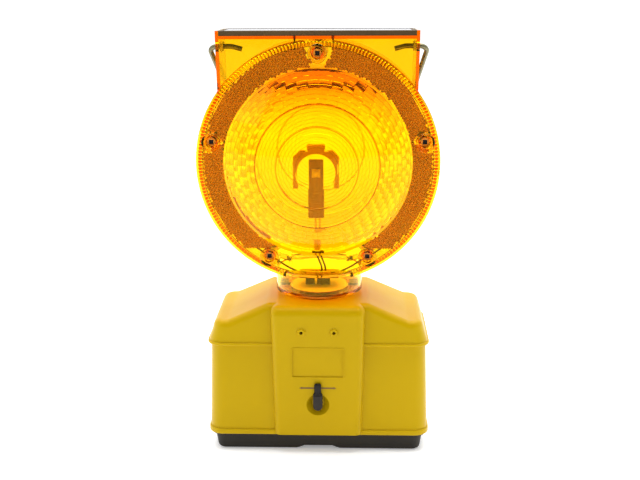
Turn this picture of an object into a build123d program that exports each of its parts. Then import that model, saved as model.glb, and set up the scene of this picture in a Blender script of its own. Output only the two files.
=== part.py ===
from build123d import *
import math
import os

# Two-sided warning light for a road-works barrier, in millimetres. +Z is up and the front
# faces -Y. The origin is the centre of the base, on the surface that the lamp stands on.
#
# A yellow hood stands on a black base that holds two square 6 V batteries. A lever on the
# hood's front turns a cam that hooks under a catch on the base, so the hood lifts off when
# the lever is upright. The amber head turns on the hood's top. It is a frame between two
# domed lenses, with a solar panel on its roof and a wire bail through its sides.

# ---- driving dimensions -------------------------------------------------------------------

# Base
foot_half_x, foot_half_y = 84.6, 42.6        # the feet, on the ground
waist_half_x, waist_half_y = 86.6, 43.8      # the block, under its flange
flange_half_x, flange_half_y = 89.4, 44.4
flange_bottom, flange_top = 12.8, 14.7
rim_half_x, rim_half_y = 87.4, 42.0          # upright rim inside the hood
rim_height, rim_wall = 9.0, 2.2
notch_top_half, notch_bottom_half, notch_height = 11.6, 19.7, 3.5
bolt_hole_radius = 4.25                      # clearance for an M8 bolt

# Batteries, the square 6 V type with two spring terminals
battery_side, battery_height = 67.0, 100.0
battery_x, battery_floor = 43.5, 6.5
battery_gap, well_wall, well_top = 0.7, 1.6, 30.0
spring_top = 116.8

# Hood
wall = 2.5
hood_bottom, seam_z = flange_top, 94.0
box_half_bottom = (90.6, 45.4)
box_half_top = (88.3, 41.6)
lid_half_bottom = (89.8, 43.4)
lid_half_top = (79.4, 40.4)
lid_loft_height = 36.0
roof_low, roof_high = 112.5, 126.8
roof_low_half, roof_high_half = 73.5, 41.0
plan_corner = 11.0
crest_fillet = 6.0
boss_half_bottom, boss_half_top, boss_half_y = 36.0, 38.0, 50.0
boss_floor = 19.0
neck_hole_radius = 27.3
label_width, label_height, label_z = 41.4, 24.4, 80.0
label_border, label_rise, label_depth = 1.0, 0.4, 0.6
mark_length, mark_width, mark_z = 28.0, 1.3, 58.2
vent_x, vent_z = 13.2, 106.2
vent_radius, vent_hole_radius, vent_rise = 3.4, 1.3, 1.4

# Contact board, under the hood's roof
board_top, board_thickness = 118.6, 1.6
board_length, board_width = 104.0, 60.0
board_posts = [(x, y) for x in (-31.0, 31.0) for y in (-24.0, 24.0)]
pad_side, pad_thickness = 13.0, 0.15
socket_radius, socket_top = 6.0, board_top + 5.0

# Lock lever and the catch that its cam turns under
lever_z = 43.4
recess_radius, recess_depth = 9.4, 6.0
shaft_radius = 3.0
lever_front, lever_back = -53.8, -50.4
lever_half_width, lever_length, grip_length = 3.8, 9.9, 9.5
cam_half_length, cam_half_width = 11.0, 3.0
cam_front, cam_back = -40.0, -37.0
catch_front, catch_back = -39.8, -37.8
catch_hook_z = 54.2
catch_screw_places = [(-4.0, -28.0), (4.0, -28.0)]
catch_screw_radius = 1.4

# Head
axis_z = 238.5                               # the lenses' axis, along Y
frame_radius, frame_half_depth = 95.5, 22.0
opening_radius = 92.0
frame_wall = 2.5
shoulder_top, shoulder_half_top, shoulder_half_low = 338.0, 79.0, 77.8
post_top = 342.0
cup_radius, cup_bottom, cup_top = 36.0, 130.0, 150.0
spigot_radius, spigot_bottom = 27.0, 119.6
spigot_shoulder_radius = 29.5
rib_half_width, rib_low, rib_high, rib_rise = 1.6, 132.0, 148.5, 1.2
retainer_radius, retainer_thickness = 32.5, 3.0
neck_disc_thickness, lead_radius = 1.8, 2.2

# Solar panel and its two leads
panel_half_x, panel_half_y = 76.3, 21.7
panel_border, panel_pocket = 3.0, 1.5
panel_wire_x, wire_y = (-18.0, 12.0), -12.0
wire_skin_radius = 0.75

# Lenses
lens_radius, flange_thickness = 97.0, 3.0
window_radius, dome_height, dome_wall = 75.0, 23.0, 3.0
tooth_depth = 0.9
screw_circle = 86.3
screw_angles = (90.0, 11.5, 168.5, -62.5, 242.5)
screw_radius, counterbore_radius, counterbore_depth = 2.0, 4.2, 6.0
screw_head_radius, screw_head_height, screw_recess = 3.4, 2.4, 3.6
boss_radius, boss_end = 5.0, 5.0
boss_pad_radius, boss_pad_rise = 7.5, 0.6
reflector_thickness, reflector_gap_angle, reflector_low = 1.4, 30.0, 168.6
notch_radii = (11.2, 9.0, 9.0, 6.4, 6.4)     # cut away round each screw, in the same order

# Lamp board, the arch round its lamps, and the clear stand that holds both
lamp_x, lamp_z = -2.2, 227.0
board_low, board_high, board_half_width = 193.0, 238.2, 6.0
board_half_thick = 0.8
led_side, led_height, led_dome_radius = 7.0, 1.2, 3.6
arch_half, arch_low, arch_opening, arch_leg_inner = 17.4, 215.5, 15.8, 13.6
arch_top, arch_chamfer, arch_thickness = 244.5, 5.0, 2.2
tab_half, tab_top = 6.9, 248.8
rail_inner, rail_outer, rail_depth = 3.8, 6.2, 2.4
bridge_z, bridge_half_y, bridge_thickness = 163.0, 6.0, 2.4
lead_slot_x = -1.1                           # where the lamp's two leads pass the bridge

# Driver board, on ledges inside the stand's legs
control_low, control_high = 140.0, 141.6
control_half_x, control_half_y = 16.6, 10.5
control_screw_places = [(-15.0, 3.5), (15.0, 3.5)]
ledge_inner = 13.2

# Bail
bail_z, wire_radius = 329.0, 2.0
bail_half_width, bail_bar_half = 87.0, 77.7    # wire's centre line, at the pivots and at the bar
bail_reach, bail_droop = 59.0, 45.2
bush_radius = 4.0

# ---- helpers ------------------------------------------------------------------------------

parts = {}


def keep(name, shape):
    """Labels a finished piece and files it under its node's name."""
    shape.label = name
    parts[name] = shape


def rounded_loft(low_z, low_half, low_corner, high_z, high_half, high_corner):
    """A solid between two rounded rectangles, given by their half sizes."""
    with BuildPart() as form:
        with BuildSketch(Plane.XY.offset(low_z)):
            RectangleRounded(2 * low_half[0], 2 * low_half[1], low_corner)
        with BuildSketch(Plane.XY.offset(high_z)):
            RectangleRounded(2 * high_half[0], 2 * high_half[1], high_corner)
        loft()
    return form.part


def rounded_plate(half_x, half_y, corner, low_z, high_z, edge_radius):
    """A flat plate with rounded corners and softened edges."""
    with BuildPart() as plate:
        with BuildSketch(Plane.XY.offset(low_z)):
            RectangleRounded(2 * half_x, 2 * half_y, corner)
        extrude(amount=high_z - low_z)
        rims = plate.edges().group_by(Axis.Z)
        fillet(rims[0] + rims[-1], edge_radius)
    return plate.part


def smooth_route(points):
    """A path of straight runs joined by the largest arcs that leave a tenth of each run."""
    corners = [Vector(*p) for p in points]
    radii = []
    for before, here, after in zip(corners, corners[1:], corners[2:]):
        turn = math.radians((here - before).get_angle(after - here))
        shorter = min((here - before).length, (after - here).length)
        radii.append(0.45 * shorter / math.tan(turn / 2))
    with BuildLine() as line:
        FilletPolyline(*corners, radius=radii)
    return line.line


def wire_along(points, radius):
    """A round wire along a smooth route."""
    path = smooth_route(points)
    with BuildPart() as wire:
        with BuildSketch(Plane(origin=path @ 0, z_dir=path % 0)):
            Circle(radius)
        sweep(path=path)
    return wire.part


def on_circle(radius, angle):
    """The X and Z of a point on a circle about the lenses' axis."""
    turn = math.radians(angle)
    return radius * math.cos(turn), axis_z + radius * math.sin(turn)


screw_places = [on_circle(screw_circle, angle) for angle in screw_angles]

# ---- base ---------------------------------------------------------------------------------


def make_base_tray():
    block = rounded_loft(0, (foot_half_x, foot_half_y), 7, flange_bottom, (waist_half_x, waist_half_y), 9)
    rim_inner = (rim_half_x - rim_wall, rim_half_y - rim_wall)
    well = battery_side + 2 * battery_gap
    with BuildPart() as tray:
        add(block)
        fillet(tray.faces().sort_by(Axis.Z)[0].edges(), 3.0)
        add(rounded_plate(flange_half_x, flange_half_y, 10, flange_bottom, flange_top, 0.6))
        with BuildSketch(Plane.XY.offset(flange_top)):
            RectangleRounded(2 * rim_half_x, 2 * rim_half_y, 8.5)
            RectangleRounded(2 * rim_inner[0], 2 * rim_inner[1], 6.3, mode=Mode.SUBTRACT)
        extrude(amount=rim_height)
        with BuildSketch(Plane.XY.offset(flange_top)):
            with Locations((-battery_x, 0), (battery_x, 0)):
                Rectangle(well + 2 * well_wall, well + 2 * well_wall)
        extrude(amount=well_top - flange_top)
        with BuildSketch(Plane.XY.offset(battery_floor)):
            with Locations((-battery_x, 0), (battery_x, 0)):
                Rectangle(well, well)
        extrude(amount=well_top, mode=Mode.SUBTRACT)
        # channel between the feet, from front to back
        with BuildSketch(Plane.XZ):
            with BuildLine():
                Polyline(
                    (-notch_bottom_half - 2, -1),
                    (-notch_bottom_half, 0),
                    (-notch_top_half, notch_height),
                    (notch_top_half, notch_height),
                    (notch_bottom_half, 0),
                    (notch_bottom_half + 2, -1),
                    close=True,
                )
            make_face()
        extrude(amount=60, both=True, mode=Mode.SUBTRACT)
        # fixing bolt, pilot holes for the catch, and finger slots in the wells' outer walls
        with Locations((0, 0, flange_top)):
            Cylinder(bolt_hole_radius, 60, mode=Mode.SUBTRACT)
        with Locations(*[(x, y, flange_top) for x, y in catch_screw_places]):
            Cylinder(catch_screw_radius + 0.05, 14, mode=Mode.SUBTRACT)
        slot_x = battery_x + well / 2 + well_wall / 2
        with Locations((-slot_x, 0, well_top), (slot_x, 0, well_top)):
            Box(4, 26, 24, mode=Mode.SUBTRACT)
    keep("base_tray", tray.part)


def make_washer_plate():
    with BuildPart() as plate:
        with BuildSketch(Plane.XY.offset(flange_top)):
            RectangleRounded(14, 36, 2)
            Circle(bolt_hole_radius, mode=Mode.SUBTRACT)
        extrude(amount=2)
    keep("washer_plate", plate.part)


def make_lock_catch():
    """A bent steel plate whose two hooks reach over the turned cam."""
    upright_half, upright_width, hook_reach = 17.0, 4.0, 4.6
    with BuildPart() as catch:
        with BuildSketch(Plane.XZ.offset(-catch_back)):
            with BuildLine():
                Polyline(
                    (-upright_half, flange_top),
                    (upright_half, flange_top),
                    (upright_half, catch_hook_z + 4),
                    (hook_reach, catch_hook_z + 4),
                    (hook_reach, catch_hook_z),
                    (upright_half - upright_width, catch_hook_z),
                    (upright_half - upright_width, 22),
                    (-upright_half + upright_width, 22),
                    (-upright_half + upright_width, catch_hook_z),
                    (-hook_reach, catch_hook_z),
                    (-hook_reach, catch_hook_z + 4),
                    (-upright_half, catch_hook_z + 4),
                    close=True,
                )
            make_face()
        extrude(amount=catch_back - catch_front)
        with Locations((0, (catch_back - 23.0) / 2, flange_top + 1)):
            Box(14, -23.0 - catch_back, 2)
        with Locations(*[(x, y, flange_top) for x, y in catch_screw_places]):
            Cylinder(catch_screw_radius + 0.2, 10, mode=Mode.SUBTRACT)
    keep("lock_catch", catch.part)


def make_catch_screws():
    with BuildPart() as screws:
        with Locations(*[(x, y, flange_top + 2) for x, y in catch_screw_places]):
            Cylinder(2.7, 1.6, align=(Align.CENTER, Align.CENTER, Align.MIN))
            Cylinder(catch_screw_radius, 8.0, align=(Align.CENTER, Align.CENTER, Align.MAX))
        with Locations(*[(x, y, flange_top + 3.6) for x, y in catch_screw_places]):
            Box(4, 0.7, 1.6, mode=Mode.SUBTRACT)
    keep("catch_screws", screws.part)


def spring_places(side):
    """The centre terminal and the corner terminal of the battery on one side."""
    return [(side * battery_x, 0.0), (side * (battery_x - 22.0), side * 22.0)]


def make_battery(name, side):
    top = battery_floor + battery_height
    with BuildPart() as battery:
        with BuildSketch(Plane.XY.offset(battery_floor)):
            with Locations((side * battery_x, 0)):
                RectangleRounded(battery_side, battery_side, 7)
        extrude(amount=battery_height)
        rims = battery.edges().group_by(Axis.Z)
        fillet(rims[0] + rims[-1], 1.5)
        with Locations(*[(x, y, top) for x, y in spring_places(side)]):
            Cylinder(8.5, 1.6, mode=Mode.SUBTRACT)
    keep(name, battery.part)


def make_battery_springs(name, side):
    """The spring terminals as plain cones, the outer shape of their coils."""
    seat = battery_floor + battery_height - 0.8
    height = spring_top - seat
    with BuildPart() as springs:
        with Locations(*[(x, y, seat) for x, y in spring_places(side)]):
            Cone(7.5, 4.0, height, align=(Align.CENTER, Align.CENTER, Align.MIN))
    keep(name, springs.part)


# ---- hood ---------------------------------------------------------------------------------


def lid_form(inset):
    """The hood's upper part: drafted sides under a roof that slopes up to the neck."""
    low = (lid_half_bottom[0] - inset, lid_half_bottom[1] - inset)
    high = (lid_half_top[0] - inset, lid_half_top[1] - inset)
    top_z = seam_z + lid_loft_height
    sides = rounded_loft(seam_z - inset, low, plan_corner - inset, top_z, high, plan_corner - 2.5 - inset)
    low_roof, high_roof = roof_low - inset, roof_high - inset
    with BuildPart() as lid:
        add(sides)
        with BuildSketch(Plane.XZ):
            with BuildLine():
                FilletPolyline(
                    (-110, low_roof),
                    (-roof_low_half, low_roof),
                    (-roof_high_half, high_roof),
                    (roof_high_half, high_roof),
                    (roof_low_half, low_roof),
                    (110, low_roof),
                    radius=9,
                )
                Polyline((110, low_roof), (110, 60), (-110, 60), (-110, low_roof))
            make_face()
        extrude(amount=60, both=True, mode=Mode.INTERSECT)
        top_faces = lid.faces().filter_by(lambda face: face.normal_at().Z > 0.5)
        seen = [edge.center() for face in top_faces for edge in face.edges()]
        crest = [
            edge
            for face in top_faces
            for edge in face.edges()
            if sum((edge.center() - point).length < 0.01 for point in seen) == 1
        ]
        fillet(crest, crest_fillet - inset)
    return lid.part


def boss_form(inset, low_z):
    """The raised panel that runs up the front and the back, with a rounded outline."""
    draft = (boss_half_top - boss_half_bottom) / (roof_high - hood_bottom)
    top_z = roof_high - inset
    low_half = boss_half_bottom + draft * (low_z - hood_bottom) - inset
    top_half = boss_half_bottom + draft * (top_z - hood_bottom) - inset
    with BuildPart() as boss:
        with BuildSketch(Plane.XZ):
            with BuildLine():
                Polyline(
                    (-low_half, low_z),
                    (low_half, low_z),
                    (top_half, top_z),
                    (-top_half, top_z),
                    close=True,
                )
            make_face()
        extrude(amount=boss_half_y - inset, both=True)
        across = boss.edges().filter_by(Axis.X)
        fillet(across.group_by(Axis.Z)[-1], 7.5 - inset)
        ends = boss.faces().sort_by(Axis.X)
        rims = ends[0].edges() + ends[-1].edges()
        fillet(rims.filter_by(lambda edge: edge.center().Z > low_z + 0.5), 5.5 - inset)
    return boss.part


def make_hood():
    box_outer = rounded_loft(hood_bottom, box_half_bottom, plan_corner, seam_z, box_half_top, plan_corner)
    draft_x = (box_half_bottom[0] - box_half_top[0]) / (seam_z - hood_bottom)
    draft_y = (box_half_bottom[1] - box_half_top[1]) / (seam_z - hood_bottom)
    mouth = (box_half_bottom[0] + draft_x - wall, box_half_bottom[1] + draft_y - wall)
    inside_top = (box_half_top[0] - wall, box_half_top[1] - wall)
    box_inner = rounded_loft(
        hood_bottom - 1, mouth, plan_corner - wall, seam_z, inside_top, plan_corner - wall
    )
    seam_bead = rounded_plate(91.0, 44.7, plan_corner + 1.2, seam_z - 1.8, seam_z + 0.6, 0.9)
    bottom_lip = rounded_plate(91.7, 46.5, plan_corner + 1.1, hood_bottom, hood_bottom + 4.5, 0.9)
    with BuildPart() as hood:
        add(box_outer)
        add(lid_form(0))
        add(seam_bead)
        add(bottom_lip)
        add(boss_form(0, hood_bottom + 1.5))
        add(box_inner, mode=Mode.SUBTRACT)
        add(lid_form(wall), mode=Mode.SUBTRACT)
        add(boss_form(wall, boss_floor), mode=Mode.SUBTRACT)
        # neck hole, and posts that carry the contact board
        with Locations((0, 0, roof_high)):
            Cylinder(neck_hole_radius, 12, mode=Mode.SUBTRACT)
        with Locations(*[(x, y, board_top) for x, y in board_posts]):
            Cylinder(3.5, roof_high - 1 - board_top, align=(Align.CENTER, Align.CENTER, Align.MIN))
        with Locations(*[(x, y, board_top) for x, y in board_posts]):
            Cylinder(1.15, 16, mode=Mode.SUBTRACT)
        # cup and bearing for the lock lever
        with BuildSketch(Plane.XZ.offset(boss_half_y - 1)):
            with Locations((0, lever_z)):
                Circle(recess_radius + wall)
        extrude(amount=-(recess_depth + wall - 1))
        with BuildSketch(Plane.XZ.offset(boss_half_y)):
            with Locations((0, lever_z)):
                Circle(recess_radius)
        with BuildSketch(Plane.XZ.offset(boss_half_y - recess_depth)):
            with Locations((0, lever_z)):
                Circle(recess_radius * 0.55)
        loft(mode=Mode.SUBTRACT)
        with BuildSketch(Plane.XZ.offset(boss_half_y)):
            with Locations((0, lever_z)):
                Circle(shaft_radius + 0.06)
        extrude(amount=-15, mode=Mode.SUBTRACT)
        # label panel, groove for the lever's mark, and two small bosses with vent holes
        with BuildSketch(Plane.XZ.offset(boss_half_y - label_depth)):
            with Locations((0, label_z)):
                RectangleRounded(label_width + 2 * label_border, label_height + 2 * label_border, 1.8)
        extrude(amount=label_depth + label_rise)
        with BuildSketch(Plane.XZ.offset(boss_half_y + label_rise)):
            with Locations((0, label_z)):
                RectangleRounded(label_width, label_height, 1.0)
        extrude(amount=-(label_depth + label_rise), mode=Mode.SUBTRACT)
        with BuildSketch(Plane.XZ.offset(boss_half_y)):
            with Locations((0, mark_z)):
                Rectangle(mark_length + 0.2, mark_width + 0.1)
        extrude(amount=-0.4, mode=Mode.SUBTRACT)
        with BuildSketch(Plane.XZ.offset(boss_half_y)):
            with Locations((-vent_x, vent_z), (vent_x, vent_z)):
                Circle(vent_radius)
        extrude(amount=vent_rise, taper=20)
        with BuildSketch(Plane.XZ.offset(boss_half_y + vent_rise)):
            with Locations((-vent_x, vent_z), (vent_x, vent_z)):
                Circle(vent_hole_radius)
        extrude(amount=-8, mode=Mode.SUBTRACT)
    keep("hood", hood.part)


def make_direction_mark():
    """The line over the lever, with an arrow head at each end."""
    with BuildPart() as mark:
        with BuildSketch(Plane.XZ.offset(boss_half_y - 0.4)):
            with Locations((0, mark_z)):
                Rectangle(mark_length, mark_width)
        extrude(amount=0.5)
        with BuildSketch(Plane.XZ.offset(boss_half_y)):
            for side in (-1, 1):
                with BuildLine():
                    Polyline(
                        (side * (mark_length / 2 + 1.2), mark_z),
                        (side * (mark_length / 2 - 1.2), mark_z + 1.2),
                        (side * (mark_length / 2 - 1.2), mark_z - 1.2),
                        close=True,
                    )
                make_face()
        extrude(amount=0.1)
    keep("direction_mark", mark.part)


def make_contact_board():
    with BuildPart() as board:
        with BuildSketch(Plane.XY.offset(board_top - board_thickness)):
            RectangleRounded(board_length, board_width, 4)
            with Locations(*board_posts):
                Circle(1.6, mode=Mode.SUBTRACT)
        extrude(amount=board_thickness)
    keep("contact_board", board.part)


def make_contact_strips():
    """Four brass pads under the board, one over each spring."""
    pads = spring_places(-1) + spring_places(1)
    low = board_top - board_thickness
    with BuildPart() as strips:
        with BuildSketch(Plane.XY.offset(low)):
            with Locations(*pads):
                RectangleRounded(pad_side, pad_side, 2)
        extrude(amount=-pad_thickness)
    keep("contact_strips", strips.part)


def make_contact_board_screws():
    low = board_top - board_thickness
    with BuildPart() as screws:
        with Locations(*[(x, y, low) for x, y in board_posts]):
            Cylinder(3.0, 1.6, align=(Align.CENTER, Align.CENTER, Align.MAX))
            Cylinder(1.1, 7.0, align=(Align.CENTER, Align.CENTER, Align.MIN))
    keep("contact_board_screws", screws.part)


def make_cable_socket():
    with BuildPart() as socket:
        with Locations((0, 0, board_top)):
            Cylinder(socket_radius, socket_top - board_top, align=(Align.CENTER, Align.CENTER, Align.MIN))
        fillet(socket.edges().sort_by(Axis.Z)[-1], 1.0)
    keep("cable_socket", socket.part)


def make_neck_cable():
    """The round two-core lead, on the head's own turning axis."""
    with BuildPart() as cable:
        with Locations((0, 0, socket_top)):
            height = control_low - 0.2 - socket_top
            Cylinder(lead_radius, height, align=(Align.CENTER, Align.CENTER, Align.MIN))
    keep("neck_cable", cable.part)


def make_lever_washer():
    back = -(boss_half_y - recess_depth - wall)
    with BuildPart() as washer:
        with BuildSketch(Plane.XZ.offset(-back)):
            with Locations((0, lever_z)):
                Circle(5.2)
                Circle(shaft_radius + 0.15, mode=Mode.SUBTRACT)
        extrude(amount=-1.3)
    keep("lever_washer", washer.part)


# ---- lock lever ---------------------------------------------------------------------------


def lever_disc(radius, front, back):
    """A cylinder on the lever's axis between two depths."""
    with BuildPart() as disc:
        with BuildSketch(Plane.XZ.offset(-front)):
            with Locations((0, lever_z)):
                Circle(radius)
        extrude(amount=-(back - front))
    return disc.part


def make_lock_lever():
    with BuildPart() as lever:
        with BuildSketch(Plane.XZ.offset(-lever_front)):
            with Locations((0, lever_z)):
                Circle(lever_half_width)
            with Locations((0, lever_z + lever_length / 2)):
                Rectangle(2 * lever_half_width, lever_length)
        extrude(amount=-(lever_back - lever_front))
        fillet(lever.faces().sort_by(Axis.Y)[0].edges(), 1.0)
        add(lever_disc(lever_half_width, lever_back, -(boss_half_y - recess_depth + 0.3)))
        add(lever_disc(shaft_radius, lever_back, cam_front))
        add(lever_disc(2.0, cam_front, cam_back))
        add(lever_disc(1.1, cam_front - 3, cam_back), mode=Mode.SUBTRACT)
    keep("lock_lever", lever.part)


def make_lever_grip():
    """The rubber tip, with a collar where it meets the lever."""
    low = lever_z + lever_length
    depth = lever_back - lever_front
    neck_height = 2.0
    with BuildPart() as grip:
        with BuildSketch(Plane.XY.offset(low)):
            with Locations((0, (lever_front + lever_back) / 2)):
                RectangleRounded(6.6, depth, 1.2)
        extrude(amount=1.2)
        with BuildSketch(Plane.XY.offset(low)):
            with Locations((0, (lever_front + lever_back) / 2)):
                RectangleRounded(4.6, depth - 0.6, 1.0)
        extrude(amount=neck_height)
        with BuildSketch(Plane.XY.offset(low + neck_height)):
            with Locations((0, (lever_front + lever_back) / 2)):
                RectangleRounded(5.6, depth, 1.4)
        extrude(amount=grip_length - neck_height)
        fillet(grip.faces().sort_by(Axis.Z)[-1].edges(), 1.2)
    keep("lever_grip", grip.part)


def make_lock_cam():
    with BuildPart() as cam:
        with BuildSketch(Plane.XZ.offset(-cam_front)):
            with Locations((0, lever_z)):
                RectangleRounded(2 * cam_half_width, 2 * cam_half_length, 1.0)
                Circle(2.05, mode=Mode.SUBTRACT)
        extrude(amount=-(cam_back - cam_front))
    keep("lock_cam", cam.part)


def make_cam_screw():
    with BuildPart() as screw:
        add(lever_disc(3.0, cam_back, cam_back + 2))
        add(lever_disc(1.0, cam_front - 2.5, cam_back))
    keep("cam_screw", screw.part)


# ---- head ---------------------------------------------------------------------------------


def head_outline(inset, half_depth):
    """The frame's outline, a circle with square shoulders, as a slab centred on the XZ plane."""
    with BuildPart() as slab:
        with BuildSketch(Plane.XZ):
            with Locations((0, axis_z)):
                Circle(frame_radius - inset)
            with BuildLine():
                Polyline(
                    (-shoulder_half_low + inset, axis_z + 20),
                    (-shoulder_half_top + inset, shoulder_top - inset),
                    (shoulder_half_top - inset, shoulder_top - inset),
                    (shoulder_half_low - inset, axis_z + 20),
                    close=True,
                )
            make_face()
        extrude(amount=half_depth, both=True)
    return slab.part


def make_head_frame():
    post_width = shoulder_half_top - panel_half_x - 0.2
    with BuildPart() as frame:
        add(head_outline(0, frame_half_depth))
        for side in (-1, 1):
            with Locations((side * (shoulder_half_top - post_width / 2), 0, shoulder_top)):
                Box(post_width, 2 * frame_half_depth, 2 * (post_top - shoulder_top))
        with Locations((0, 0, cup_bottom)):
            Cylinder(cup_radius, cup_top - cup_bottom, align=(Align.CENTER, Align.CENTER, Align.MIN))
            Cylinder(
                spigot_shoulder_radius,
                cup_bottom - roof_high - 0.2,
                align=(Align.CENTER, Align.CENTER, Align.MAX),
            )
            Cylinder(
                spigot_radius, cup_bottom - spigot_bottom, align=(Align.CENTER, Align.CENTER, Align.MAX)
            )
        # upright rib on the cup's front
        with Locations((0, -cup_radius, (rib_low + rib_high) / 2)):
            Box(2 * rib_half_width, 2 * rib_rise, rib_high - rib_low)
        add(head_outline(frame_wall, frame_half_depth - frame_wall), mode=Mode.SUBTRACT)
        with BuildSketch(Plane.XZ):
            with Locations((0, axis_z)):
                Circle(opening_radius)
        extrude(amount=frame_half_depth, both=True, mode=Mode.SUBTRACT)
        # hollow cup and spigot, open upwards into the frame
        with Locations((0, 0, cup_bottom + frame_wall)):
            Cylinder(
                cup_radius - frame_wall,
                cup_top - cup_bottom - 2 * frame_wall,
                align=(Align.CENTER, Align.CENTER, Align.MIN),
                mode=Mode.SUBTRACT,
            )
        with Locations((0, 0, cup_top - frame_wall - 0.1)):
            Box(
                2 * (cup_radius - frame_wall),
                2 * (frame_half_depth - frame_wall),
                12,
                align=(Align.CENTER, Align.CENTER, Align.MIN),
                mode=Mode.SUBTRACT,
            )
        with Locations((0, 0, cup_bottom)):
            Cylinder(spigot_radius - frame_wall, 40, mode=Mode.SUBTRACT)
        # bail holes in the sides, wire holes in the roof
        with BuildSketch(Plane.YZ):
            with Locations((0, bail_z)):
                Circle(bush_radius)
        extrude(amount=100, both=True, mode=Mode.SUBTRACT)
        with Locations(*[(x, wire_y, shoulder_top) for x in panel_wire_x]):
            Cylinder(1.3, 20, mode=Mode.SUBTRACT)
    keep("head_frame", frame.part)


def dome_depth(radius, wall_in):
    """How far in front of the flange's face the dome stands at a radius, its wall peeled by wall_in."""
    sphere = (window_radius**2 + dome_height**2) / (2 * dome_height)
    return math.sqrt((sphere - wall_in) ** 2 - radius**2) - (sphere - dome_height)


def lens_profile():
    """Half the lens's section as radius and depth, from its rim over the dome and back inside."""
    face = -(frame_half_depth + flange_thickness)
    back = -frame_half_depth
    inner_end = window_radius - 2.5
    tooth_starts = [16.5 + 2.67 * i for i in range(12)] + [48.6 + 3.4 * i for i in range(7)]
    teeth = [(0.0, face - dome_depth(0, dome_wall))]
    for start in tooth_starts:
        depth = face - dome_depth(start, dome_wall)
        teeth += [(start, depth), (start, depth - tooth_depth)]
    teeth += [(inner_end, face - dome_depth(inner_end, dome_wall)), (inner_end, back)]
    return face, back, teeth


def make_lens():
    """The front lens: a flange, a domed window with ring prisms inside, and five screw bosses."""
    face, back, teeth = lens_profile()
    apex = face - dome_height
    middle = window_radius / 2
    with BuildPart() as lens:
        with BuildSketch(Plane.XY.offset(axis_z)):
            with BuildLine():
                ThreePointArc(
                    (0, apex), (middle, face - dome_depth(middle, 0)), (window_radius, face)
                )
                Polyline(
                    (window_radius, face),
                    (lens_radius - 0.6, face),
                    (lens_radius, face + 0.6),
                    (lens_radius, back),
                    (window_radius - 2.5, back),
                )
                Polyline(*reversed(teeth))
                Line((0, teeth[0][1]), (0, apex))
            make_face()
        revolve(axis=Axis((0, 0, axis_z), (0, 1, 0)))
        with BuildSketch(Plane.XZ.offset(-face)):
            with Locations(*screw_places):
                Circle(boss_pad_radius)
        extrude(amount=boss_pad_rise)
        with BuildSketch(Plane.XZ.offset(-face)):
            with Locations(*screw_places):
                Circle(boss_radius)
        extrude(amount=face + boss_end)
        with BuildSketch(Plane.XZ.offset(-face + boss_pad_rise)):
            with Locations(*screw_places):
                Circle(counterbore_radius)
        extrude(amount=-(counterbore_depth + boss_pad_rise), mode=Mode.SUBTRACT)
        with BuildSketch(Plane.XZ.offset(-face)):
            with Locations(*screw_places):
                Circle(screw_radius + 0.15)
        extrude(amount=-30, mode=Mode.SUBTRACT)
        # notch where the neck cup stands in front of the flange
        with Locations((0, 0, cup_top + 0.2)):
            Cylinder(
                cup_radius + 0.2,
                60,
                align=(Align.CENTER, Align.CENTER, Align.MAX),
                mode=Mode.SUBTRACT,
            )
    return lens.part


def make_reflector():
    """The front ring of corner prisms, open at the bottom and cut away around each screw."""
    back = -frame_half_depth + 0.1
    reach = 150.0
    gap_x = reach * math.sin(math.radians(reflector_gap_angle))
    gap_z = axis_z - reach * math.cos(math.radians(reflector_gap_angle))
    with BuildPart() as ring:
        with BuildSketch(Plane.XZ.offset(-back)):
            with Locations((0, axis_z)):
                Circle(opening_radius - 0.6)
                Circle(window_radius + 0.6, mode=Mode.SUBTRACT)
            for place, radius in zip(screw_places, notch_radii):
                with Locations(place):
                    Circle(radius, mode=Mode.SUBTRACT)
            with BuildLine():
                Polyline((0, axis_z), (gap_x, gap_z), (-gap_x, gap_z), close=True)
            make_face(mode=Mode.SUBTRACT)
            with Locations((0, reflector_low)):
                Rectangle(
                    2 * opening_radius, 50, align=(Align.CENTER, Align.MAX), mode=Mode.SUBTRACT
                )
        extrude(amount=-reflector_thickness)
    return ring.part


def make_lens_screws():
    head_back = -(frame_half_depth + flange_thickness) + counterbore_depth
    head_front = head_back - screw_head_height
    with BuildPart() as screws:
        with BuildSketch(Plane.XZ.offset(-head_front)):
            with Locations(*screw_places):
                Circle(screw_head_radius)
        extrude(amount=-screw_head_height)
        with BuildSketch(Plane.XZ.offset(-head_front)):
            with Locations(*screw_places):
                Rectangle(screw_recess, screw_recess)
        extrude(amount=-1.4, mode=Mode.SUBTRACT)
        with BuildSketch(Plane.XZ.offset(-head_back)):
            with Locations(*screw_places):
                Circle(screw_radius)
        extrude(amount=-(frame_half_depth - head_back))
    keep("lens_screws", screws.part)


def make_lens_nuts():
    seat = frame_half_depth + flange_thickness - counterbore_depth
    with BuildPart() as nuts:
        with BuildSketch(Plane.XZ.offset(-seat)):
            with Locations(*screw_places):
                RegularPolygon(3.5, 6, major_radius=False)
                Circle(screw_radius + 0.02, mode=Mode.SUBTRACT)
        extrude(amount=-2.9)
    keep("lens_nuts", nuts.part)


def make_led_board():
    with BuildPart() as board:
        with BuildSketch(Plane.XZ.offset(board_half_thick)):
            with Locations((lamp_x, (board_low + board_high) / 2)):
                RectangleRounded(2 * board_half_width, board_high - board_low, 1.0)
        extrude(amount=-2 * board_half_thick)
    keep("led_board", board.part)


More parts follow.
